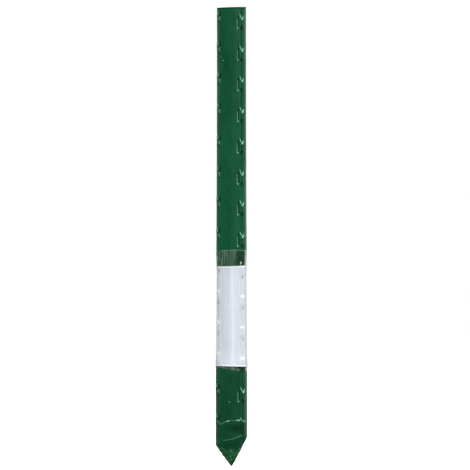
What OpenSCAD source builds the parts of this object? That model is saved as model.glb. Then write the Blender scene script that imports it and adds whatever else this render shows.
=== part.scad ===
// Nubbed plastic-coated steel marker stake, driven point down.
// Millimetres, +Z up, origin at the tip of the point on the stake's axis. The front is -Y.

/* [Stake] */
// Length from the tip to the top of the cap
stake_h = 459; // [300:1:1500]
// Outside diameter of the plastic coating
coat_d = 30; // [28:0.1:33]
// Outside diameter of the steel core tube
tube_d = 27; // [24:0.1:27.4]
// Wall of the steel core tube
tube_wall = 0.8; // [0.5:0.1:2]

/* [Nubs] */
// Distance between nubs in one row
nub_pitch = 31; // [20:0.5:60]
// Length of one nub along the stake
nub_len = 14.5; // [8:0.5:18]
// Width of one nub where it leaves the coating
nub_w = 7; // [4:0.5:9]
// Height of a nub above the coating
nub_rise = 1.2; // [0.6:0.1:2]
// Angle from the front or back centre line to a row of nubs on the right half
right_row = 48; // [35:1:60]
// Angle from the front or back centre line to a row of nubs on the left half
left_row = 61; // [35:1:65]
// Distance from the top of the stake to the middle of the first nub, on the lower rows
first_nub = 15; // [12:0.5:30]
// How much higher every second row sits
row_lift = 5.5; // [0:0.5:5.5]

/* [Wraps] */
// Height of the bottom edge of the white band
band_z = 100; // [70:1:250]
// Width of the white band along the stake
band_h = 100; // [50:5:200]
// Thickness of the white band
band_t = 0.3; // [0.2:0.05:0.5]
// How far the clear film passes the band below
film_below = 4.5; // [2:0.5:20]
// How far the clear film passes the band above
film_above = 16; // [2:0.5:40]
// Thickness of the clear film over the band
film_t = 0.25; // [0.15:0.05:0.5]

/* [Point] */
// Outside diameter of the point's collar
collar_d = 31; // [30:0.1:34]
// Half of the angle of the point's cone
point_angle = 31.5; // [25:0.5:40]
// Lean of the cone's axis towards -X
point_lean = 3.1; // [0:0.1:6]
// Radius of the blunted tip
tip_r = 0.6; // [0.3:0.1:2]
// Height of the weld seam between point and coating
seam_z = 44; // [40:1:60]
// Width of the weld seam along the stake
seam_w = 1.6; // [1:0.1:3]
// How far the weld bead stands proud of the collar
seam_rise = 0.4; // [0.2:0.1:0.8]
// Length of the point's spigot inside the tube
spigot_h = 38; // [20:1:80]

/* [Cap] */
// Thickness of the cap's flange
flange_t = 1.2; // [1:0.1:4]
// Depth of the cap's plug inside the tube
plug_h = 18; // [10:1:40]
// Wall of the cap's hollow plug
plug_wall = 1.8; // [1.2:0.1:3]
// Number of grip ribs round the plug
plug_ribs = 3; // [2:1:5]

/* [Hidden] */
coat_r = coat_d / 2;
collar_r = collar_d / 2;
tube_r = tube_d / 2;
bore_r = tube_r - tube_wall;
fit_gap = 0.1;
rib_gap = 0.02;
jacket_top = stake_h - flange_t;
jacket_bottom = seam_z + seam_w / 2;
collar_top = seam_z - seam_w / 2;
tube_seat = seam_z - 10;
band_top = band_z + band_h;
film_bottom = band_z - film_below;
film_top = band_top + film_above;
nub_rows = [left_row, 180 - left_row, 180 + right_row, 360 - right_row];
nub_top_z = stake_h - first_nub;
nub_count = floor((nub_top_z + nub_len / 2 - seam_z) / nub_pitch) + 1;
// Each nub is a slice of a ring: these are the ring's outer radius and its section's radius
nub_ring_r = (nub_len * nub_len / 4 + nub_rise * nub_rise) / (2 * nub_rise);
nub_section_r = 1 / (8 * nub_rise / (nub_w * nub_w) + 1 / coat_r);
nub_slice = 2 * asin(nub_len / 2 / nub_ring_r) + 8;
edge_bevel = 0.4;
rib_rise = 0.35;
rib_w = 1.6;
past = 1;
$fn = 96;

// Round bar on the stake's axis from z0 to z1
module bar(z0, z1, r) {
    translate([0, 0, z0]) cylinder(h = z1 - z0, r = r);
}

// One nub at height z, facing +Y before its row turns it, grown outwards by grow
module nub(z, grow) {
    translate([0, coat_r + nub_rise - nub_ring_r, z])
        rotate([0, 90, 0])
            rotate_extrude(start = 90 - nub_slice / 2, angle = nub_slice)
                translate([nub_ring_r - nub_section_r, 0])
                    circle(r = nub_section_r + grow);
}

// The nubs of all four rows that reach between z0 and z1
module nubs(z0, z1, grow) {
    for (row = [0:3]) {
        lift = (row % 2 == 1) ? row_lift : 0;
        for (i = [0:nub_count - 1]) {
            z = nub_top_z + lift - i * nub_pitch;
            if (z > z0 - nub_len / 2 && z < z1 + nub_len / 2)
                rotate([0, 0, nub_rows[row]]) nub(z, grow);
        }
    }
}

// Coating and nubs as one solid without its bore, between z0 and z1
module coat_form(z0, z1, grow) {
    intersection() {
        union() {
            bar(z0, z1, coat_r + grow);
            nubs(z0, z1, grow);
        }
        bar(z0, z1, coat_d);
    }
}

module core_tube() {
    color("silver")
        difference() {
            bar(tube_seat, jacket_top, tube_r);
            bar(tube_seat - past, jacket_top + past, bore_r);
        }
}

module green_jacket() {
    color("darkgreen")
        difference() {
            coat_form(jacket_bottom, jacket_top, 0);
            bar(jacket_bottom - past, jacket_top + past, tube_r);
        }
}

module top_cap() {
    plug_r = bore_r - fit_gap - rib_rise;
    plug_z = jacket_top - plug_h;
    color("darkgreen")
        difference() {
            union() {
                bar(jacket_top, stake_h - edge_bevel, coat_r);
                translate([0, 0, stake_h - edge_bevel])
                    cylinder(h = edge_bevel, r1 = coat_r, r2 = coat_r - edge_bevel);
                bar(plug_z, jacket_top, plug_r);
                for (i = [1:plug_ribs])
                    translate([0, 0, plug_z + i * plug_h / (plug_ribs + 1)])
                        bar(-rib_w / 2, rib_w / 2, bore_r - rib_gap);
            }
            bar(plug_z - past, jacket_top - plug_wall, plug_r - plug_wall);
        }
}

module foot_point() {
    cone_h = seam_z * 2;
    color("darkgreen")
        difference() {
            union() {
                intersection() {
                    bar(-past, collar_top, collar_r);
                    translate([0, 0, tip_r * sin(point_lean)])
                        rotate([0, -point_lean, 0])
                            cylinder(h = cone_h, r1 = tip_r, r2 = tip_r + cone_h * tan(point_angle));
                }
                bar(collar_top - past, tube_seat + spigot_h, bore_r - fit_gap);
            }
            difference() {
                bar(tube_seat, collar_top + past, tube_r);
                bar(tube_seat - past, collar_top + 2 * past, bore_r - fit_gap);
            }
        }
}

module seam_bead() {
    color("seagreen")
        rotate_extrude()
            polygon([
                [tube_r, collar_top],
                [collar_r, collar_top],
                [collar_r + seam_rise, seam_z - seam_w / 4],
                [collar_r + seam_rise, seam_z + seam_w / 4],
                [coat_r, jacket_bottom],
                [tube_r, jacket_bottom]
            ]);
}

module white_band() {
    color("white")
        difference() {
            coat_form(band_z, band_top, band_t);
            coat_form(band_z - past, band_top + past, 0);
        }
}

module clear_film() {
    color("lightcyan")
        difference() {
            coat_form(film_bottom, film_top, band_t + film_t);
            coat_form(band_z, band_top, band_t);
            coat_form(film_bottom - past, film_top + past, 0);
        }
}

core_tube();
green_jacket();
top_cap();
foot_point();
seam_bead();
white_band();
clear_film();
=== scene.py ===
"""Looks of the nubbed, plastic-coated marker stake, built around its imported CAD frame.

Lengths are in millimetres until a mesh is made. Angle 0 is the stake's front (-Y) and grows towards +X.
"""
import math

import bpy
import numpy as np
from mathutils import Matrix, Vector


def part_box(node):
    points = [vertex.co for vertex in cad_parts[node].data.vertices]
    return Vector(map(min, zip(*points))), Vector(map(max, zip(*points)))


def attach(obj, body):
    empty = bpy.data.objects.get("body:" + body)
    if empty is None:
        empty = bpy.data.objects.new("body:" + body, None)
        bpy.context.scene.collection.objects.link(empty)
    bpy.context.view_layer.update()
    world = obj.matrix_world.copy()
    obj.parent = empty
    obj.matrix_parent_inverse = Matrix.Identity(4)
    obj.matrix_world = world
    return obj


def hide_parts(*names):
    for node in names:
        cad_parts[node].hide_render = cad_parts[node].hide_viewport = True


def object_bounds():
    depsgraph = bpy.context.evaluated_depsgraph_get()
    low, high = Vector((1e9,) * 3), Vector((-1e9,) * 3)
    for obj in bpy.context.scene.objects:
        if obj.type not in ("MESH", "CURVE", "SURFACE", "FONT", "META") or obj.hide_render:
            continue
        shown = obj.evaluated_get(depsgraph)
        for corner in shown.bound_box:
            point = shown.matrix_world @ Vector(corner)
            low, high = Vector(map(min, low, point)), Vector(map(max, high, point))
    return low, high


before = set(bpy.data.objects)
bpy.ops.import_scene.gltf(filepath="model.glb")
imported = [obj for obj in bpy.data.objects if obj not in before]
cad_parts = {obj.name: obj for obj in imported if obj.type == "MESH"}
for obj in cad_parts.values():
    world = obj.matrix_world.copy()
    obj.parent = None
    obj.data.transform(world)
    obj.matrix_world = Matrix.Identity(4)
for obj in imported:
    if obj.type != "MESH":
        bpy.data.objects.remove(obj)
cad_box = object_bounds()

MM = 0.001
TAU = 2 * math.pi


# ---------------------------------------------------------------- places, from the CAD frame
def node_range(node):
    """Lowest and highest corner of a CAD node, in millimetres."""
    low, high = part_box(node)
    return np.array(low) / MM, np.array(high) / MM


def node_heights(node):
    """Bottom and top of a CAD node, in millimetres."""
    low, high = node_range(node)
    return low[2], high[2]


JACKET_Z0, JACKET_Z1 = node_heights("green_jacket")
CAP_Z0, STAKE_H = node_heights("top_cap")
FOOT_TOP = node_heights("foot_point")[1]
BAND_Z0, BAND_Z1 = node_heights("white_band")
FILM_Z0, FILM_Z1 = node_heights("clear_film")
TUBE_Z0 = node_heights("core_tube")[0]
SEAM_Z = sum(node_heights("seam_bead")) / 2
COAT_R = node_range("green_jacket")[1][0]
TUBE_R = node_range("core_tube")[1][0]
TUBE_WALL = 0.8
# Half the collar's thickness where it is pressed flat
FLAT_R = 13.9

# The coating is a little thinner at the top and thicker near the point than its nominal size, and the
# stretched band and film pinch it in.
TOP_SHRINK = 0.50
FOOT_SWELL = 0.80
WAIST = 0.80

# Nubs: rows as (angle in degrees, lift in mm), spaced and placed as in CAD
NUB_PITCH = 31.0
NUB_FIRST = 15.0
NUB_COUNT = 14
NUB_ROWS = ((48, 0.0), (-61, 5.5), (132, 5.5), (-119, 0.0))
NUB_RISE = 1.15
# Rows whose nubs have a lip down one side; the nubs of the others were dragged sideways
LIPPED_ROWS = (0, 3)
# Small nicks in the coating as (angle in degrees, height, size)
NICKS = ((-35, 405.3, 0.75), (-45, 408.5, 0.5), (-8, 64.5, 0.6), (150, 300, 0.8), (-160, 225, 0.7))
# Slope of the top end, which was cut a little out of square
END_TILT = 0.027
# Tint of reflections off the green plastic
GREEN_SHINE = (0.72, 1.0, 0.86, 1)
# Specks of air under the film: angle, height and size
FLECKS = ((-66, 208.6, 0.7), (39, 203.4, 0.9), (-110, 206, 0.8), (170, 204, 0.7))
# Where the band and film carry a painted lengthwise highlight stripe, in radians
HIGHLIGHT_STRIPE_ANGLE = 0.06


def smooth(low, high, value):
    """0 below low, 1 above high, and an even S between."""
    t = np.clip((value - low) / (high - low), 0.0, 1.0)
    return t * t * (3 - 2 * t)


def bump(value, width):
    """1 at 0, falling to 0 at width on either side."""
    return 1 - smooth(0.0, width, np.abs(value))


def wrap_angle(angle):
    """The same angle between -pi and pi."""
    return (angle + math.pi) % TAU - math.pi


def waves(phi, z, seed, count=10, coarse=1.0, fine=6.0, around=3):
    """Gentle repeatable unevenness between about -1 and 1, seamless around the stake."""
    rng = np.random.default_rng(seed)
    total = np.zeros(np.broadcast(phi, z).shape)
    for _ in range(count):
        turns = rng.integers(0, around + 1)
        rate = rng.uniform(coarse, fine) * TAU / 100
        total += np.sin(turns * phi + rate * z + rng.uniform(0, TAU))
    return total / math.sqrt(count)


def coat_r(z):
    """Plain radius of the coating at height z: swollen near the foot and pinched under the wraps."""
    t = (z - JACKET_Z0) / (STAKE_H - JACKET_Z0)
    swell = (TOP_SHRINK + FOOT_SWELL) * np.exp(-(t / 0.50) ** 2)
    waist = smooth(BAND_Z0 - 3, BAND_Z0 + 14, z) * (1 - smooth(BAND_Z1 - 10, FILM_Z1, z))
    return COAT_R - TOP_SHRINK + swell - WAIST * waist


# ---------------------------------------------------------------- surface relief
def nub_frames():
    """Yields each nub's row number, angle, height and a seed of its own."""
    for row, (angle, lift) in enumerate(NUB_ROWS):
        for i in range(NUB_COUNT):
            yield row, math.radians(angle), STAKE_H - NUB_FIRST + lift - i * NUB_PITCH, row * 100 + i


def one_nub(s, t, lipped, grow):
    """Relief, painted highlight and painted shade of one nub. s is across it and t up it, from its
    middle.
    """
    side = np.abs(s)
    # the body: a notched upper edge, a slowly falling back and a blunt underside
    upper_edge = 1.9 + 5.2 * np.clip(np.abs(s + 0.6) / 3.0, 0, 1.2) ** 1.1
    soft = 1.3 + 0.9 * smooth(0.0, 1.5, -s - 0.6)
    step = smooth(-soft, soft, t - upper_edge)
    flank = (1 - smooth(3.0, 4.2, -s)) * (1 - smooth(0.9, 2.2, s))
    taper = 0.74 + 0.26 * smooth(-5, 4, t)
    body = grow * NUB_RISE * (1 - step) * smooth(-7.4, -4.6, t) * flank * taper
    ripple = np.exp(-((side - 9.5) / 2.6) ** 2 - ((t + 4.5) / 3.2) ** 2)
    body = body + ripple * 0.07 * np.sin(2.4 * side - 1.7 * t)
    # painted highlight on the notched edge and the lip, and painted shade in the folds
    notch = smooth(0.02, 0.30, step) * (1 - smooth(0.70, 0.98, step)) * flank
    shade = smooth(-9.0, -7.6, t) * (1 - smooth(-5.4, -2.6, t)) * (1 - smooth(2.2, 3.6, side))
    if lipped:
        # a groove down one flank with painted shade in it, and a thin lip outside it that ends in a
        # bead, both with painted highlight
        groove = smooth(-7.2, -5.6, t) * (1 - smooth(4.2, 6.6, t)) * bump(s + 5.3, 1.15)
        lip = smooth(-7.2, -5.8, t) * (1 - smooth(1.5, 4.5, t)) * bump(s + 6.4, 0.95)
        bead = np.exp(-((s + 6.1) ** 2 + (t + 6.9) ** 2) / 0.8)
        relief = body + 0.34 * lip + 0.42 * bead - 0.85 * groove
        painted_highlight = np.maximum(notch, np.maximum(0.72 * lip, bead))
        return relief, painted_highlight, np.maximum(1.3 * groove, 0.95 * shade)
    # a short groove with painted shade in it, and a slanting ridge with painted highlight that closes
    # the lower end
    groove = smooth(-1.2, 0.4, t) * (1 - smooth(4.2, 6.6, t)) * bump(s - 2.3, 2.1)
    slant = np.exp(-((t + 0.3 + 1.3 * s) / 0.9) ** 2) * bump(s - 1.7, 2.9)
    relief = body + 0.32 * slant - 0.62 * groove
    return relief, np.maximum(0.48 * notch, 0.7 * slant), np.maximum(1.3 * groove, 0.2 * shade)


def nub_relief(phi, z):
    """Height of the coating's pressed pattern, with the painted highlight on its raised edges and the
    painted shade in its grooves and under the nubs.
    """
    relief = np.zeros(np.broadcast(phi, z).shape)
    painted_highlight = np.zeros_like(relief)
    painted_shade = np.zeros_like(relief)
    for row, (angle, _) in enumerate(NUB_ROWS):
        # each row stands in a shallow track, with a painted highlight along one edge that is stronger
        # higher up
        s = wrap_angle(phi - math.radians(angle)) * COAT_R
        wander = 0.15 * np.sin(z / 17 + row)
        depth = 0.10 + 0.16 * smooth(180, 330, z)
        relief -= depth * (1 - smooth(3.1, 3.8, np.abs(s + wander)))
        painted_highlight += (0.20 + 0.14 * smooth(150, 400, z)) * bump(s + wander + 3.5, 0.9)
    for row, angle, z_nub, seed in nub_frames():
        near = np.abs(z[:, 0] - z_nub) < 14
        if not near.any():
            continue
        rng = np.random.default_rng(seed)
        s = wrap_angle(phi - angle) * COAT_R + rng.uniform(-0.25, 0.25)
        t = z[near] - z_nub + rng.uniform(-0.5, 0.5)
        s, t = np.broadcast_arrays(s, t)
        rise, pale, fold = one_nub(s, t, row in LIPPED_ROWS, grow=rng.uniform(0.88, 1.08))
        relief[near] += rise
        painted_highlight[near] = np.maximum(painted_highlight[near], pale)
        painted_shade[near] = np.maximum(painted_shade[near], fold)
    # each nick is raised a little and gets a painted highlight
    for angle, height, size in NICKS:
        s = wrap_angle(phi - math.radians(angle)) * COAT_R
        nick = np.exp(-(s ** 2 + ((z - height) / 0.8) ** 2) / size ** 2)
        relief += 0.25 * nick
        painted_highlight = np.maximum(painted_highlight, nick)
    return relief, painted_highlight, painted_shade


def soft_nubs(phi, z, rise, spread):
    """The nubs as they show through something wrapped tightly over them."""
    relief = np.zeros(np.broadcast(phi, z).shape)
    for _, angle, z_nub, seed in nub_frames():
        rng = np.random.default_rng(seed)
        s = wrap_angle(phi - angle) * COAT_R + rng.uniform(-0.25, 0.25)
        t = z - z_nub - 0.6 + rng.uniform(-0.5, 0.5)
        upper = 1 - smooth(3.4 - spread, 5.6 + spread, t)
        lower = smooth(-7.5 - spread, -3.6 + spread, t)
        flank = 1 - smooth(1.6, 4.6 + spread, np.abs(s))
        relief = np.maximum(relief, rise * upper * lower * flank)
    return relief


def nub_light(phi, z):
    """Painted highlight above each nub and painted shade below it, and how near a nub row each point of
    the band is, for painted shade beside the rows.
    """
    lit = np.zeros(np.broadcast(phi, z).shape)
    dim = np.zeros_like(lit)
    beside = np.zeros_like(lit)
    for row, angle, z_nub, _ in nub_frames():
        s = wrap_angle(phi - angle) * COAT_R
        t = z - z_nub
        across = np.exp(-((s - 0.1) / 2.7) ** 2)
        lit = np.maximum(lit, across * np.exp(-((t - 4.6 + 0.5 * s) / 1.25) ** 2))
        dim = np.maximum(dim, np.exp(-((s - 0.4) / 1.6) ** 2 - ((t + 7.4) / 1.5) ** 2))
        reach = 0.45 if row == 1 else 1.0
        beside = np.maximum(beside, reach * np.exp(-(s / 3.2) ** 4))
    return lit, dim, beside


# ---------------------------------------------------------------- mesh makers
def columns(extra=()):
    """Angles around the stake, closer together over the nub rows and at extra (centre, half width)."""
    fine, plain = math.radians(1.75), math.radians(5.5)
    zones = [(math.radians(a), math.radians(30)) for a, _ in NUB_ROWS] + list(extra)
    angles = [-math.pi]
    while angles[-1] < math.pi:
        near = any(abs(wrap_angle(angles[-1] - mid)) < half for mid, half in zones)
        angles.append(angles[-1] + (fine if near else plain))
    return np.array(angles[:-1])


def add_object(name, verts, faces, fields=None, sharp=38):
    """A smooth-shaded mesh object from points in millimetres. fields are values per point."""
    mesh = bpy.data.meshes.new(name)
    mesh.from_pydata((np.asarray(verts) * MM).tolist(), [], faces)
    mesh.validate()
    mesh.update()
    for key, values in (fields or {}).items():
        layer = mesh.attributes.new(key, "FLOAT", "POINT")
        layer.data.foreach_set("value", np.asarray(values, np.float32).ravel())
    mesh.shade_smooth()
    mesh.set_sharp_from_angle(angle=math.radians(sharp))
    obj = bpy.data.objects.new(name, mesh)
    bpy.context.scene.collection.objects.link(obj)
    return obj


def ring_points(phi, radius, z):
    """Points at angle phi, radius and z, as an array with x, y, z last."""
    phi, radius, z = np.broadcast_arrays(phi, radius, z)
    return np.stack([radius * np.sin(phi), -radius * np.cos(phi), z], axis=-1)


def lathe(name, rings, loop=False, fields=None, sharp=38):
    """A closed solid from rings of points. With loop the last ring joins the first; without, both ends
    are poles, so the first and last ring shrink to one point each. Rings run so that faces look out."""
    count, around = rings.shape[:2]
    verts = rings.reshape(-1, 3)
    faces = []
    for i in range(count if loop else count - 1):
        a, b = i * around, ((i + 1) % count) * around
        for j in range(around):
            k = (j + 1) % around
            faces.append((a + j, a + k, b + k, b + j))
    if not loop:
        poles = np.stack([rings[0].mean(axis=0), rings[-1].mean(axis=0)])
        first, last, end = len(verts), len(verts) + 1, (count - 1) * around
        verts = np.concatenate([verts, poles])
        for j in range(around):
            k = (j + 1) % around
            faces.append((first, k, j))
            faces.append((last, end + j, end + k))
        if fields:
            fields = {
                key: np.concatenate([np.ravel(v), [np.mean(v[0]), np.mean(v[-1])]])
                for key, v in fields.items()
            }
    return add_object(name, verts, faces, fields, sharp)


def sheet(name, outer, inner, fields=None, sharp=38):
    """A thin closed solid between two grids of points (rows up, columns round) that don't wrap."""
    rows, cols = outer.shape[:2]
    verts = np.concatenate([outer.reshape(-1, 3), inner.reshape(-1, 3)])
    back = rows * cols
    faces = []
    for i in range(rows - 1):
        for j in range(cols - 1):
            a = i * cols + j
            quad = (a, a + 1, a + 1 + cols, a + cols)
            faces.append(quad)
            faces.append(tuple(back + v for v in reversed(quad)))
    for j in range(cols - 1):
        for a, flip in ((j, False), ((rows - 1) * cols + j, True)):
            quad = (a, back + a, back + a + 1, a + 1)
            faces.append(tuple(reversed(quad)) if flip else quad)
    for i in range(rows - 1):
        for a, flip in ((i * cols, True), (i * cols + cols - 1, False)):
            quad = (a, back + a, back + a + cols, a + cols)
            faces.append(tuple(reversed(quad)) if flip else quad)
    if fields:
        fields = {key: np.concatenate([np.ravel(v), np.ravel(v)]) for key, v in fields.items()}
    return add_object(name, verts, faces, fields, sharp)


# ---------------------------------------------------------------- pieces
def make_jacket():
    """Green coating with its pressed nubs, open at both ends and bored for the tube."""
    phi = columns()[None, :]
    z = np.arange(JACKET_Z0, JACKET_Z1, 0.5)[:, None]
    z[-1] = JACKET_Z1
    relief, painted_highlight, painted_shade = nub_relief(phi, z)
    # under the wraps the pattern is pressed down, so that band and film lie over it everywhere
    wrapped = smooth(FILM_Z0 - 1.5, FILM_Z0, z) * (1 - smooth(FILM_Z1, FILM_Z1 + 1.5, z))
    pressed = np.minimum(relief, soft_nubs(phi, z, rise=0.52, spread=0.3) - 0.03)
    relief = relief + wrapped * (pressed - relief)
    uneven = 0.035 * waves(phi, z, 5) * (1 - 0.7 * wrapped)
    radius = coat_r(z) + relief + uneven
    tilt = END_TILT * (radius * np.sin(phi) - COAT_R) * smooth(JACKET_Z1 - 12, JACKET_Z1, z)
    # the lower end follows the wavy weld
    follow = bead_line(phi) + 0.1 - JACKET_Z0
    outer = ring_points(phi, radius, z + tilt + follow * (1 - smooth(JACKET_Z0, JACKET_Z0 + 6, z)))
    inner_z = np.concatenate([0 * phi + JACKET_Z1 - END_TILT * COAT_R, JACKET_Z0 + follow])
    inner = ring_points(phi, TUBE_R, inner_z)
    rings = np.concatenate([outer, inner])
    pad = np.zeros((2, phi.shape[1]))
    # painted shadow in the gap along the lower edge of the band
    gap = bump(z - (BAND_Z0 - 0.8 - 0.45 * np.sin(phi)), 1.9)
    # the fields carry painted highlight on the nubs, track edges and nicks, painted shade in the
    # grooves and under the nubs, and the painted shadow below the band
    fields = {"painted_highlight": painted_highlight, "painted_shade": painted_shade, "gap": gap}
    fields = {key: np.concatenate([value, pad]) for key, value in fields.items()}
    return lathe("jacket_nubbed", rings, loop=True, fields=fields)


def make_cap():
    """Flat moulded cap: rounded flange, faint dish and gate mark on top, ribbed hollow plug below."""
    around = 120
    phi = (np.arange(around) * TAU / around)[None, :]
    rim = float(coat_r(STAKE_H)) + 0.05
    plug = TUBE_R - TUBE_WALL - 0.45
    plug_z = CAP_Z0
    flange_z = JACKET_Z1
    # points as (radius, height): across the top and round the rim
    profile = [(0.35, STAKE_H - 0.05), (0.9, STAKE_H - 0.32), (1.6, STAKE_H - 0.36)]
    profile += [(r, STAKE_H - 0.30) for r in (3.0, 6.0, 9.0, 11.5)]
    profile += [(12.6, STAKE_H - 0.22), (13.1, STAKE_H - 0.04), (13.6, STAKE_H)]
    round_r = 0.25
    for i in range(6):
        turn = i / 5 * math.pi / 2
        out, up = round_r * math.sin(turn), round_r * math.cos(turn)
        profile.append((rim - round_r + out, STAKE_H - round_r + up))
    profile += [(rim, flange_z + 0.18), (rim - 0.15, flange_z)]
    profile += [(plug + 0.4, flange_z), (plug, flange_z - 0.4)]
    # down the plug, over its three grip ribs
    for i in (3, 2, 1):
        mid = plug_z + i * (flange_z - plug_z) / 4
        profile += [(plug, mid + 1.0), (plug + 0.42, mid + 0.5)]
        profile += [(plug + 0.42, mid - 0.3), (plug, mid - 0.8)]
    # round its lower edge and up inside it
    hollow = plug - 1.8
    profile += [(plug, plug_z + 0.8), (plug - 0.6, plug_z)]
    profile += [(hollow + 0.3, plug_z), (hollow, plug_z + 0.4)]
    profile += [(hollow, flange_z - 2.4), (hollow - 0.6, flange_z - 1.8), (0.5, flange_z - 1.8)]
    r = np.array([p[0] for p in profile])[::-1, None]
    z = np.array([p[1] for p in profile])[::-1, None]
    # the flange follows the tilted end of the coating, and the plug hangs level below it
    lift = END_TILT * r * np.sin(phi) - END_TILT * COAT_R * 0.97
    return lathe("cap_flat", ring_points(phi, r, z + np.where(z > flange_z - 0.1, lift, -0.45)))


def hump(phi, middle, width):
    """1 at the angle middle, falling away within about width on either side, in radians."""
    return np.exp(-(wrap_angle(phi - middle) / width) ** 2)


def bead_line(phi):
    """Height of the weld seam, which wanders as it goes round."""
    line = 1.3 * hump(phi, 0.0, 0.40) + 1.5 * hump(phi, 0.55, 0.24) - 2.3 * hump(phi, -0.72, 0.27)
    line = line - 1.6 * hump(phi, 2.4, 0.3) + 1.9 * hump(phi, -2.5, 0.35) + 1.2 * hump(phi, 3.0, 0.2)
    return SEAM_Z + 0.4 + line + 0.12 * np.sin(9 * phi)


def point_slope(phi):
    """Radius gained per millimetre of height on the cone, which widens lower down on its left."""
    left = np.clip(-np.sin(phi), 0, 1)
    return 0.536 + 0.200 * left ** 1.5


def collar_form(phi, z):
    """Radius of the collar, pressed a little flat at the front and back where the point starts."""
    flat = np.abs(np.cos(phi))
    chord = FLAT_R / np.maximum(flat, 0.2)
    chord_mix = 1 - smooth(34, 43, z)
    plain = coat_r(np.maximum(z, JACKET_Z0)) + 0.02
    return plain - chord_mix * np.maximum(plain - chord, 0)


def foot_folds(phi, z):
    """Relief of the folds where the tube of plastic was pressed shut, and the painted highlight along
    them.
    """
    fold_z = 26.0 + 3.3 * np.clip(phi + 0.53, 0, 1.4) ** 1.75
    # one long fold with a dent under it, and two short ones above
    ends = smooth(-0.85, -0.40, phi) * (1 - smooth(0.60, 0.85, phi))
    long = np.exp(-((z - fold_z) / 0.42) ** 2) * ends
    short = np.exp(-((z - fold_z - 1.9) / 0.40) ** 2) * bump(phi - 0.40, 0.35)
    short = short + 0.7 * np.exp(-((z - fold_z - 3.6) / 0.38) ** 2) * bump(phi - 0.30, 0.28)
    dent = np.exp(-((z - fold_z + 1.6) / 1.3) ** 2) * bump(phi, 1.0)
    return 0.30 * long + 0.16 * short - 0.22 * dent, 0.6 * long + 0.4 * short


def foot_hollow(phi, z):
    """Depth of the hollow beside the seam on the right, and the painted shade in it and on the collar
    around it.
    """
    zone = smooth(29, 34, z) * (1 - smooth(40, 43, z))
    hollow = zone * bump(phi - 0.74 + 0.05 * np.sin(z * 0.9), 0.42)
    dusk = 0.70 * zone * smooth(-0.15, 0.45, phi) * (1 - smooth(0.9, 1.1, phi))
    return hollow, np.maximum(hollow, dusk)


def foot_rough(phi, z):
    """How rough each point of the tip is, and the relief of that roughness."""
    # the smooth shoulder ends in a curved edge; below it the plastic is rough and a little prouder
    edge = 15.4 + 3.6 * np.abs(np.sin(phi - 0.1)) ** 1.4 + 0.35 * np.sin(7 * phi)
    rough = 1 - smooth(-1.3, 1.3, z - edge + 0.9 * waves(6 * phi, z, 25, 12, 5, 20, 4))
    rough = rough * smooth(0.5, 4.0, z)
    grain = 0.16 * waves(9 * phi, z, 21, 24, 14, 60, 5) + 0.13 * waves(5 * phi, z, 22, 16, 8, 30, 6)
    side = smooth(0.50, 0.95, -np.sin(phi)) * (1 - smooth(22, 27, z))
    return rough, rough * (0.28 + grain) + side * 0.09 * waves(11 * phi, z, 23, 18, 12, 50, 5)


def foot_form(phi, z):
    """Radius of the cone where it meets the collar, softly blended between the two."""
    blend = 0.9
    collar = collar_form(phi, z)
    gap = collar - (point_slope(phi) * z + 0.35)
    return collar - np.where(gap > 0, gap, 0) - 0.28 * blend * np.exp(-(gap / blend) ** 2)


def make_foot():
    """Hot-formed point with a flattened collar, a smooth bent shoulder and a rough tip."""
    phi = columns(extra=[(0.0, math.radians(50))])[None, :]
    cone_z = 33
    z_up = np.concatenate([np.arange(0.15, cone_z, 0.32), np.arange(cone_z, 45.4, 0.4)])[:, None]
    rough, rough_relief = foot_rough(phi, z_up)
    fold_relief, fold_highlight = foot_folds(phi, z_up)
    hollow, dark = foot_hollow(phi, z_up)
    # a small curled burr above the rough tip, and a painted highlight streak beside the hollow; the
    # burr gets painted highlight too
    burr_z = 15.6 + 8.0 * np.clip(phi + 0.06, -0.5, 0.5) ** 2 * 4
    burr = np.exp(-((z_up - burr_z) / 0.6) ** 2) * bump(phi + 0.07, 0.30)
    line = hump(phi, 1.0, 0.06) * smooth(31, 34, z_up) * (1 - smooth(40, 42, z_up))
    radius = foot_form(phi, z_up) + rough_relief + fold_relief + 0.04 * waves(phi, z_up, 24, 10, 4, 14)
    radius = radius + 0.45 * burr - 0.35 * hollow
    painted_highlight = np.clip(fold_highlight + burr + 0.32 * line, 0, 1)
    # the collar is stretched so that its top follows the wavy weld
    stretch = (bead_line(phi) - cone_z) / (z_up[-1] - cone_z)
    z_grid = np.where(z_up > cone_z, cone_z + (z_up - cone_z) * stretch, z_up)
    outer = ring_points(phi, radius, z_grid)
    bore = TUBE_R - TUBE_WALL - 0.1
    inside = [(TUBE_R, SEAM_Z), (TUBE_R, TUBE_Z0), (bore, TUBE_Z0), (bore, FOOT_TOP - 1.2)]
    inside += [(bore - 1.2, FOOT_TOP), (1.0, FOOT_TOP)]
    inner = np.concatenate([ring_points(phi, r, np.array([[z]])) for r, z in inside])
    pad = np.zeros((len(inside), phi.shape[1]))
    # the hollow field holds the painted shade in and around the hollow beside the seam
    fields = {"rough": rough, "painted_highlight": painted_highlight, "hollow": dark}
    fields = {key: np.concatenate([value, pad]) for key, value in fields.items()}
    return lathe("point_formed", np.concatenate([outer, inner]), fields=fields)


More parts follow.
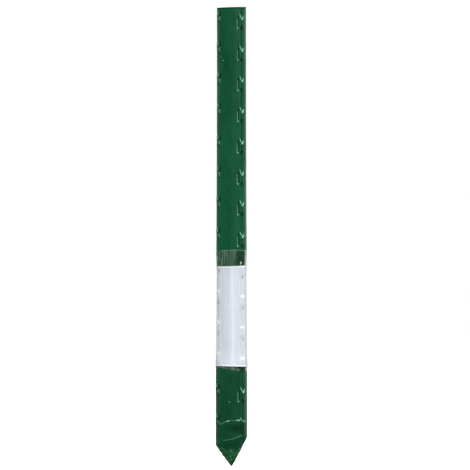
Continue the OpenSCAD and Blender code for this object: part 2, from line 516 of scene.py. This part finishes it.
def make_bead():
    """Uneven ridge of weld plastic between the coating and the point."""
    around, section = 300, 14
    phi = (np.arange(around) * TAU / around)[None, :]
    turn = (np.arange(section) * TAU / section)[:, None]
    level = 0 * phi
    fat = 0.42 + 0.10 * waves(4 * phi, level, 31, 8, 0, 1, 5)
    fat = fat + 0.08 * waves(11 * phi, level, 32, 8, 0, 1, 4)
    # thicker lumps, each with its angle and half its length
    for middle, width in ((0.47, 0.22), (-0.26, 0.15), (2.3, 0.3), (-2.2, 0.25)):
        fat = fat + 0.29 * hump(phi, middle, width)
    fat = np.clip(fat, 0.26, 0.9)
    mid = bead_line(phi)
    r = coat_r(mid) + 0.05 + 0.45 * fat * np.cos(turn)
    z = mid - fat * np.sin(turn) * 0.95
    # painted highlight where the weld is fat
    thick = np.broadcast_to(smooth(0.44, 0.84, fat), r.shape)
    return lathe("bead_weld", ring_points(phi, r, z), loop=True, fields={"thick": thick})


def wrap_grid(start, turns, step):
    """Angles along a wrap that starts at start, goes round once and laps over itself by turns."""
    count = int(round((TAU + turns) / step)) + 1
    return (start + np.linspace(0, TAU + turns, count))[None, :]


def lap_lift(phi, start, thick):
    """Extra radius where a wrap passes over its own beginning."""
    return thick * smooth(TAU - 0.10, TAU + 0.02, phi - start)


def make_band():
    """White tape wrapped once round, lapped at the back, with the nubs pressing through it."""
    start, thick = math.radians(150), 0.12
    phi = wrap_grid(start, math.radians(22), math.radians(2.2))
    z = np.linspace(BAND_Z0, BAND_Z1, 168)[:, None]
    press = soft_nubs(phi, z, rise=0.60, spread=0.5)
    lap = lap_lift(phi, start, thick + 0.04)
    form = coat_r(z) + 0.13 + press + 0.02 * waves(phi, z, 41, 12, 2, 10) + lap
    skew = 0.45 * np.sin(phi) * np.where(z > (BAND_Z0 + BAND_Z1) / 2, 1, -1)
    reach = np.abs(2 * (z - BAND_Z0) / (BAND_Z1 - BAND_Z0) - 1)
    ends = smooth(0.962, 0.984, reach)
    z = z + skew * smooth(0.8, 1.0, reach)
    outer = ring_points(phi, form, z)
    inner = ring_points(phi, form - thick, z)
    # rim is a painted highlight along both edges and fold the painted highlight stripe; lit, dim and
    # row are painted highlight and shade at the nubs
    fields = {"rim": ends, "fold": hump(phi, HIGHLIGHT_STRIPE_ANGLE, 0.075)}
    fields["lit"], fields["dim"], fields["row"] = nub_light(phi, z)
    fields = {key: np.broadcast_to(value, form.shape) for key, value in fields.items()}
    return sheet("band_wrapped", outer, inner, fields)


def make_film():
    """Clear film wrapped over the band and past both its edges, slightly puckered."""
    # its free end lies on top, near the right-hand edge as seen from the front
    start, lap, thick = math.radians(61), math.radians(28), 0.07
    phi = wrap_grid(start, lap, math.radians(2.0))
    low, high = FILM_Z0, FILM_Z1
    z = np.linspace(low, high, 230)[:, None]
    press = soft_nubs(phi, z, rise=0.64, spread=0.7)
    # 1 where the film lies over the band
    over = smooth(BAND_Z0 - 1.5, BAND_Z0 + 0.5, z) * (1 - smooth(BAND_Z1 - 0.5, BAND_Z1 + 2.0, z))
    pucker = 0.05 * waves(6 * phi, z, 51, 16, 0.3, 3, 5) + 0.02 * waves(3 * phi, z, 52, 12, 3, 14, 5)
    edge = 1 - smooth(0, 2.0, np.minimum(z - low, high - z))
    form = coat_r(z) + 0.15 + 0.06 * over + press + pucker * (1 - 0.7 * over) + 0.06 * edge
    double = 1 - smooth(lap - 0.06, lap + 0.04, phi - start)
    form = form + double * (thick + 0.03)
    # its lower edge hangs lower on the right than on the left, and its upper edge sinks on the left
    sag = 1.6 * smooth(-0.2, 0.9, np.sin(phi)) - 1.2 - 2.1 * smooth(-0.1, 0.95, -np.sin(phi))
    drop = sag * (1 - smooth(low, low + 6, z))
    drop = drop + 2.2 * smooth(0.60, 0.98, -np.sin(phi)) * smooth(high - 6, high, z)
    ragged = 0.35 * np.sin(3 * phi + 1) * edge
    z = z - drop - ragged * np.sign(low + high - 2 * z)
    outer = ring_points(phi, form + thick, z)
    inner = ring_points(phi, form, z)
    # it clings and is clear beside the free end, and is a little milky elsewhere
    from_end = wrap_angle(phi - start)
    beside = smooth(-0.84, -0.64, from_end) * (from_end < 0)
    veil = 1 - 0.9 * beside * (1 - over)
    # specks of trapped air
    air = np.zeros(form.shape)
    for angle, height, size in FLECKS:
        s = wrap_angle(phi - math.radians(angle)) * COAT_R
        air = np.maximum(air, np.exp(-((s / 1.2) ** 2 + (z - height) ** 2) / size ** 2))
    low_edge = 1 - 0.5 * (1 - smooth(low, low + 4, z))
    fields = {"edge": edge * low_edge, "double": double, "fold": hump(phi, HIGHLIGHT_STRIPE_ANGLE, 0.17),
              "veil": veil, "air": air}
    fields = {key: np.broadcast_to(value, form.shape) for key, value in fields.items()}
    return sheet("film_wrapped", outer, inner, fields)


# ---------------------------------------------------------------- materials
def set_range(node, low, high, to_low, to_high):
    """Sets the limits of a map-range node."""
    node.inputs["From Min"].default_value = low
    node.inputs["From Max"].default_value = high
    node.inputs["To Min"].default_value = to_low
    node.inputs["To Max"].default_value = to_high


class Shader:
    """Short ways to add nodes to one material."""

    def __init__(self, name):
        self.material = bpy.data.materials.new(name)
        self.material.use_nodes = True
        self.tree = self.material.node_tree
        self.tree.nodes.clear()
        self.out = self.node("ShaderNodeOutputMaterial")
        self.place = self.node("ShaderNodeTexCoord").outputs["Object"]

    def node(self, kind, **values):
        made = self.tree.nodes.new(kind)
        for key, value in values.items():
            setattr(made, key, value)
        return made

    def link(self, source, target):
        if isinstance(source, (int, float, tuple)):
            target.default_value = source
        else:
            self.tree.links.new(source, target)

    def noise(self, scale, stretch=(1, 1, 1), detail=3.0, rough=0.55):
        """Noise on the piece's own coordinates; scale is cells per metre, times stretch."""
        mapping = self.node("ShaderNodeMapping")
        mapping.inputs["Scale"].default_value = [scale * s for s in stretch]
        self.link(self.place, mapping.inputs["Vector"])
        made = self.node("ShaderNodeTexNoise")
        made.inputs["Scale"].default_value = 1.0
        made.inputs["Detail"].default_value = detail
        made.inputs["Roughness"].default_value = rough
        self.link(mapping.outputs["Vector"], made.inputs["Vector"])
        return made.outputs["Fac"]

    def ramp(self, value, low, high, to_low=0.0, to_high=1.0):
        made = self.node("ShaderNodeMapRange", interpolation_type="SMOOTHSTEP")
        self.link(value, made.inputs["Value"])
        set_range(made, low, high, to_low, to_high)
        return made.outputs["Result"]

    def math(self, operation, a, b):
        made = self.node("ShaderNodeMath", operation=operation)
        self.link(a, made.inputs[0])
        self.link(b, made.inputs[1])
        return made.outputs[0]

    def mix(self, fac, a, b):
        """Mixes two colours."""
        made = self.node("ShaderNodeMix", data_type="RGBA")
        self.link(fac, made.inputs["Factor"])
        self.link(a, made.inputs["A"])
        self.link(b, made.inputs["B"])
        return made.outputs["Result"]

    def height(self):
        """The piece's own height coordinate, in metres."""
        split = self.node("ShaderNodeSeparateXYZ")
        self.link(self.place, split.inputs["Vector"])
        return split.outputs["Z"]

    def field(self, name):
        return self.node("ShaderNodeAttribute", attribute_name=name).outputs["Fac"]

    def bump(self, height, distance, strength=1.0, below=None):
        made = self.node("ShaderNodeBump")
        made.inputs["Distance"].default_value = distance * MM
        made.inputs["Strength"].default_value = strength
        self.link(height, made.inputs["Height"])
        if below is not None:
            self.link(below, made.inputs["Normal"])
        return made.outputs["Normal"]

    def principled(self, colour, rough, normal=None, **constants):
        made = self.node("ShaderNodeBsdfPrincipled")
        self.link(colour, made.inputs["Base Color"])
        self.link(rough, made.inputs["Roughness"])
        if normal is not None:
            self.link(normal, made.inputs["Normal"])
        for key, value in constants.items():
            made.inputs[key.replace("_", " ")].default_value = value
        self.link(made.outputs["BSDF"], self.out.inputs["Surface"])
        return made


def rgb(red, green, blue):
    """A display colour from 0 to 255 as linear light."""
    def linear(value):
        value /= 255
        return value / 12.92 if value <= 0.04045 else ((value + 0.055) / 1.055) ** 2.4
    return (linear(red), linear(green), linear(blue), 1.0)


def coating_material():
    """Green polyethylene: fine draw lines, a slight mottle, painted highlights on the nubs, track edges
    and nicks, painted shade in the grooves and under the nubs, a painted shadow below the band, and
    painted shade towards the bottom.
    """
    s = Shader("green_coating")
    mottle = s.noise(60, (1, 1, 0.35), 4)
    lines = s.noise(1500, (1, 1, 0.012), 3, 0.6)
    colour = s.mix(s.ramp(mottle, 0.3, 0.7), rgb(2, 62, 34), rgb(11, 79, 49))
    colour = s.mix(s.ramp(lines, 0.42, 0.75, 0.0, 0.35), colour, rgb(20, 88, 58))
    # painted shade: darker towards the ground, standing in for light that falls off lower down
    colour = s.mix(s.ramp(s.height(), 0.03, 0.26, 0.42, 0.0), colour, rgb(6, 46, 27))
    # painted highlight on the nubs, track edges and nicks
    colour = s.mix(s.ramp(s.field("painted_highlight"), 0.1, 0.9, 0.0, 0.92), colour, rgb(116, 186, 150))
    # painted shade in the grooves and under the nubs
    colour = s.mix(s.ramp(s.field("painted_shade"), 0.15, 0.75, 0.0, 0.92), colour, rgb(0, 50, 22))
    # painted shadow below the lower edge of the band
    colour = s.mix(s.ramp(s.field("gap"), 0.15, 0.7, 0.0, 0.95), colour, rgb(9, 26, 25))
    grime = s.ramp(s.noise(420, (1, 1, 0.7), 5, 0.7), 0.50, 0.72, 0.0, 0.42)
    colour = s.mix(grime, colour, rgb(4, 54, 32))
    scuff = s.ramp(s.noise(640, (1, 1, 0.6), 4, 0.7), 0.54, 0.68, 0.0, 0.34)
    colour = s.mix(scuff, colour, rgb(36, 104, 74))
    rough = s.ramp(s.noise(180, (1, 1, 0.2), 4), 0.3, 0.7, 0.17, 0.25)
    peel = s.noise(900, (1, 1, 0.5), 2)
    normal = s.bump(lines, 0.05, 0.5)
    normal = s.bump(peel, 0.05, 0.35, normal)
    s.principled(colour, rough, normal, IOR=1.5, Specular_Tint=GREEN_SHINE)
    return s.material


def cap_material():
    """Moulded green cap, satin, with a faint mottle and scuffs."""
    s = Shader("green_cap")
    colour = s.mix(s.ramp(s.noise(140, (1, 1, 1), 4), 0.3, 0.7), rgb(2, 40, 22), rgb(6, 50, 30))
    scuff = s.ramp(s.noise(900, (1, 0.15, 1), 3), 0.62, 0.74, 0.0, 0.3)
    colour = s.mix(scuff, colour, rgb(46, 100, 74))
    rough = s.ramp(s.noise(300, (1, 1, 1), 3), 0.3, 0.7, 0.52, 0.66)
    normal = s.bump(s.noise(1200, (1, 1, 1), 2), 0.04, 0.5)
    s.principled(colour, rough, normal, Specular_IOR_Level=0.15)
    return s.material


def point_material():
    """Darker hot-formed plastic, smooth on the shoulder and rough at the tip, with painted glints
    speckled over the rough part, painted highlight on the folds and burr, and painted shade on the
    collar and in the hollow.
    """
    s = Shader("green_point")
    mottle = s.noise(160, (1, 1, 0.6), 4)
    colour = s.mix(s.ramp(mottle, 0.35, 0.7), rgb(3, 70, 42), rgb(10, 84, 52))
    # painted shade: the collar darkened like the foot of the coating just above it
    colour = s.mix(s.ramp(s.height(), 0.022, 0.031, 0.0, 0.62), colour, rgb(4, 46, 28))
    colour = s.mix(s.ramp(s.field("rough"), 0.1, 0.9, 0.0, 0.85), colour, rgb(10, 92, 52))
    # painted glints speckled over the rough tip
    glints = s.math("MULTIPLY", s.ramp(s.noise(620, (1, 1, 1), 4, 0.8), 0.55, 0.61), s.field("rough"))
    colour = s.mix(glints, colour, rgb(120, 190, 142))
    # painted shade in and around the hollow beside the seam
    colour = s.mix(s.ramp(s.field("hollow"), 0.1, 0.9, 0.0, 0.65), colour, rgb(0, 30, 16))
    # painted highlight on the folds, the burr and the streak beside the hollow
    colour = s.mix(s.ramp(s.field("painted_highlight"), 0.1, 0.9, 0.0, 0.7), colour, rgb(96, 168, 128))
    rough = s.ramp(s.field("rough"), 0.1, 0.9, 0.24, 0.50)
    normal = s.bump(s.noise(700, (1, 1, 0.5), 3), 0.08, 0.4)
    s.principled(colour, rough, normal, IOR=1.5, Specular_Tint=GREEN_SHINE)
    return s.material


def bead_material():
    """Weld plastic squeezed out of the seam, with a painted highlight along its fatter parts."""
    s = Shader("green_bead")
    colour = s.mix(s.ramp(s.noise(420, (1, 1, 1), 3), 0.35, 0.65), rgb(14, 84, 54), rgb(44, 116, 82))
    # painted highlight where the weld is fat
    colour = s.mix(s.ramp(s.field("thick"), 0.1, 0.9, 0.0, 0.75), colour, rgb(132, 196, 160))
    rough = s.ramp(s.noise(800, (1, 1, 1), 2), 0.3, 0.7, 0.22, 0.4)
    s.principled(colour, rough, s.bump(s.noise(1600, (1, 1, 1), 2), 0.05, 0.6), IOR=1.5)
    return s.material


def band_material():
    """Opaque white tape: faintly blue, with soft lengthwise tone and tiny specks, painted highlights
    along a lengthwise stripe, along its edges and above each nub, and painted shade below each nub and
    beside the nub rows.
    """
    s = Shader("white_band")
    tone = s.noise(220, (1, 1, 0.05), 3)
    colour = s.mix(s.ramp(tone, 0.3, 0.7), rgb(222, 228, 238), rgb(234, 238, 247))
    cloud = s.ramp(s.noise(90, (1, 1, 0.6), 4), 0.5, 0.8, 0.0, 0.3)
    colour = s.mix(cloud, colour, rgb(212, 220, 230))
    # painted shade beside the nub rows and below each nub; painted highlight along the lengthwise
    # stripe, above each nub and along both edges
    colour = s.mix(s.ramp(s.field("row"), 0.1, 0.9, 0.0, 0.4), colour, rgb(206, 217, 230))
    colour = s.mix(s.ramp(s.field("fold"), 0.1, 0.9, 0.0, 0.9), colour, rgb(242, 246, 255))
    colour = s.mix(s.ramp(s.field("lit"), 0.2, 0.9, 0.0, 0.9), colour, rgb(252, 255, 255))
    colour = s.mix(s.ramp(s.field("dim"), 0.2, 0.9, 0.0, 0.8), colour, rgb(146, 164, 178))
    colour = s.mix(s.ramp(s.field("rim"), 0.1, 0.9, 0.0, 0.95), colour, rgb(252, 255, 254))
    rough = s.ramp(s.noise(500, (1, 1, 0.3), 3), 0.3, 0.7, 0.45, 0.6)
    s.principled(colour, rough, s.bump(s.noise(1400, (1, 1, 0.4), 3), 0.03, 0.5), IOR=1.45)
    return s.material


def film_material():
    """Clear film: see-through, milky along its cut edges, in fine lengthwise streaks and faintly along
    the painted highlight stripe, glossy.
    """
    s = Shader("clear_film")
    streak = s.ramp(s.noise(1300, (1, 1, 0.02), 3, 0.6), 0.44, 0.64, 0.0, 0.060)
    edge = s.ramp(s.field("edge"), 0.55, 0.98, 0.0, 0.06)
    # slightly milkier along the painted highlight stripe
    fold = s.ramp(s.field("fold"), 0.0, 1.0, 0.0, 0.010)
    double = s.ramp(s.field("double"), 0.2, 0.9, 0.0, 0.11)
    haze = s.math("MULTIPLY", s.math("ADD", streak, fold), s.field("veil"))
    haze = s.math("ADD", haze, s.math("ADD", edge, double))
    haze = s.math("MAXIMUM", haze, s.ramp(s.field("air"), 0.25, 0.8, 0.0, 0.75))
    cloud = s.ramp(s.noise(300, (1, 1, 0.1), 3), 0.3, 0.7)
    colour = s.mix(cloud, rgb(240, 245, 247), rgb(250, 252, 253))
    rough = s.ramp(s.noise(260, (1, 1, 0.1), 3), 0.3, 0.7, 0.08, 0.16)
    normal = s.bump(s.noise(700, (1, 1, 0.05), 3), 0.05, 0.4)
    clear = s.node("ShaderNodeBsdfTransparent")
    # where it clings it wets the coating, which looks deeper there
    s.link(s.mix(s.field("veil"), (0.90, 0.90, 0.90, 1), (1, 1, 1, 1)), clear.inputs["Color"])
    milky = s.node("ShaderNodeBsdfDiffuse")
    s.link(colour, milky.inputs["Color"])
    s.link(normal, milky.inputs["Normal"])
    gloss = s.node("ShaderNodeBsdfGlossy")
    s.link(rough, gloss.inputs["Roughness"])
    s.link(normal, gloss.inputs["Normal"])
    body = s.node("ShaderNodeMixShader")
    s.link(haze, body.inputs["Fac"])
    s.link(clear.outputs["BSDF"], body.inputs[1])
    s.link(milky.outputs["BSDF"], body.inputs[2])
    # the same reflectance on both faces: 0.034 head-on, rising steeply towards a glancing view
    facing = s.node("ShaderNodeLayerWeight")
    facing.inputs["Blend"].default_value = 0.5
    glance = s.math("POWER", facing.outputs["Facing"], 5.0)
    shine = s.math("ADD", s.math("MULTIPLY", glance, 0.5), 0.034)
    surface = s.node("ShaderNodeMixShader")
    s.link(shine, surface.inputs["Fac"])
    s.link(body.outputs["Shader"], surface.inputs[1])
    s.link(gloss.outputs["BSDF"], surface.inputs[2])
    s.link(surface.outputs["Shader"], s.out.inputs["Surface"])
    return s.material


def steel_material():
    """Zinc-coated strip steel with spangle and fine drawing lines."""
    s = Shader("zinc_steel")
    cells = s.node("ShaderNodeTexVoronoi")
    cells.inputs["Scale"].default_value = 260
    s.link(s.place, cells.inputs["Vector"])
    tone = s.mix(s.ramp(cells.outputs["Distance"], 0.0, 0.7), rgb(188, 190, 192), rgb(160, 163, 166))
    lines = s.noise(2200, (1, 1, 0.01), 2)
    rough = s.ramp(lines, 0.3, 0.7, 0.30, 0.48)
    s.principled(tone, rough, s.bump(lines, 0.02, 0.5), Metallic=1.0)
    return s.material


def backdrop_material():
    """Plain pale studio floor."""
    s = Shader("studio_floor")
    cloud = s.ramp(s.noise(3, (1, 1, 1), 2), 0.3, 0.7)
    tone = s.mix(cloud, (0.88, 0.88, 0.88, 1), (0.90, 0.90, 0.90, 1))
    s.principled(tone, 0.9, Specular_IOR_Level=0.0)
    return s.material


# ---------------------------------------------------------------- studio
def make_floor():
    """Large pale floor at the height of the tip."""
    size, level = 12.0, float(cad_box[0][2]) / MM
    half = size / MM / 2
    count = 9
    steps = np.linspace(-half, half, count)
    verts = [(x, y, level) for y in steps for x in steps]
    faces = []
    for j in range(count - 1):
        for i in range(count - 1):
            a = j * count + i
            faces.append((a, a + 1, a + 1 + count, a + count))
    floor = add_object("studio_floor", verts, faces)
    floor.data.materials.append(backdrop_material())
    floor.visible_diffuse = False
    floor.visible_glossy = False


def make_world():
    """Soft surround. Diffuse light comes mostly from above, a little more from the front right, and
    reflections see a dim horizon and a bright overhead. The camera sees plain white."""
    world = bpy.data.worlds.new("studio")
    bpy.context.scene.world = world
    world.use_nodes = True
    tree = world.node_tree
    tree.nodes.clear()
    out = tree.nodes.new("ShaderNodeOutputWorld")
    place = tree.nodes.new("ShaderNodeTexCoord")
    path = tree.nodes.new("ShaderNodeLightPath")

    def glow(towards, start, end, low, high):
        """Background light that grows from low to high along the direction towards."""
        rise = tree.nodes.new("ShaderNodeMapRange")
        rise.interpolation_type = "SMOOTHSTEP"
        set_range(rise, start, end, low, high)
        along = tree.nodes.new("ShaderNodeVectorMath")
        along.operation = "DOT_PRODUCT"
        along.inputs[1].default_value = towards
        tree.links.new(place.outputs["Generated"], along.inputs[0])
        tree.links.new(along.outputs["Value"], rise.inputs["Value"])
        shine = tree.nodes.new("ShaderNodeBackground")
        shine.inputs["Color"].default_value = (1, 1, 1, 1)
        tree.links.new(rise.outputs["Result"], shine.inputs["Strength"])
        return shine.outputs["Background"]

    def choose(fac, first, second):
        mix = tree.nodes.new("ShaderNodeMixShader")
        tree.links.new(path.outputs[fac], mix.inputs["Fac"])
        tree.links.new(first, mix.inputs[1])
        tree.links.new(second, mix.inputs[2])
        return mix.outputs["Shader"]

    reflected = glow((0, 0, 1), start=0.18, end=0.65, low=0.13, high=4.2)
    spread = glow((0.30, -0.20, 1), start=-0.3, end=0.95, low=0.22, high=1.26)
    seen = glow((0, 0, 1), start=-1.0, end=1.0, low=1.01, high=1.01)
    light = choose("Is Diffuse Ray", reflected, spread)
    tree.links.new(choose("Is Camera Ray", light, seen), out.inputs["Surface"])


def soft_box(name, azimuth, distance, height, width, tall, strength):
    """Upright area light that looks at the stake from azimuth (0 is the front, + to the right)."""
    light = bpy.data.lights.new(name, "AREA")
    light.shape = "RECTANGLE"
    light.size = width
    light.size_y = tall
    # strength is the radiance of the box's face
    light.energy = strength * math.pi * width * tall
    obj = bpy.data.objects.new(name, light)
    turn = math.radians(azimuth)
    obj.location = (distance * math.sin(turn), -distance * math.cos(turn), height)
    look = np.array([0, 0, STAKE_H * MM / 2]) - np.array(obj.location)
    pitch = math.atan2(math.hypot(look[0], look[1]), -look[2])
    obj.rotation_euler = (pitch, 0, math.atan2(-look[0], look[1]))
    bpy.context.scene.collection.objects.link(obj)
    return obj


def make_lights():
    """A high box for the shaft's right, a weak card in front of it, and one box behind each side."""
    mid = STAKE_H * MM / 2
    soft_box("box_right_front", azimuth=49, distance=1.6, height=mid + 0.74,
             width=1.1, tall=1.2, strength=0.52)
    soft_box("card_front", azimuth=22, distance=2.4, height=mid + 0.40,
             width=2.0, tall=1.1, strength=0.11)
    soft_box("box_right_behind", azimuth=132, distance=1.5, height=mid + 0.45,
             width=1.0, tall=1.6, strength=0.66)
    soft_box("box_left_behind", azimuth=-140, distance=1.5, height=mid,
             width=0.48, tall=1.6, strength=0.16)


def make_camera():
    """Level view of the whole stake from the front, from far away."""
    distance, frame_size = 8.0, 0.470
    aim_x, aim_z = 0.0035, 0.2311
    data = bpy.data.cameras.new("camera")
    data.sensor_width = 36.0
    data.lens = data.sensor_width * distance / frame_size
    data.clip_end = 60
    camera = bpy.data.objects.new("camera", data)
    camera.location = (aim_x, -distance, aim_z)
    camera.rotation_euler = (math.pi / 2, 0, 0)
    bpy.context.scene.collection.objects.link(camera)
    bpy.context.scene.camera = camera
    bpy.context.scene.view_settings.view_transform = "Standard"


# ---------------------------------------------------------------- assembly
def dress(piece, material, node):
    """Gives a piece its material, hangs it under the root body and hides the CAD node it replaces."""
    piece.data.materials.append(material)
    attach(piece, "root")
    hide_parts(node)


make_camera()
make_world()
make_lights()
make_floor()
dress(make_jacket(), coating_material(), "green_jacket")
dress(make_cap(), cap_material(), "top_cap")
dress(make_foot(), point_material(), "foot_point")
dress(make_bead(), bead_material(), "seam_bead")
dress(make_band(), band_material(), "white_band")
dress(make_film(), film_material(), "clear_film")
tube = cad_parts["core_tube"]
tube.data.materials.clear()
tube.data.materials.append(steel_material())
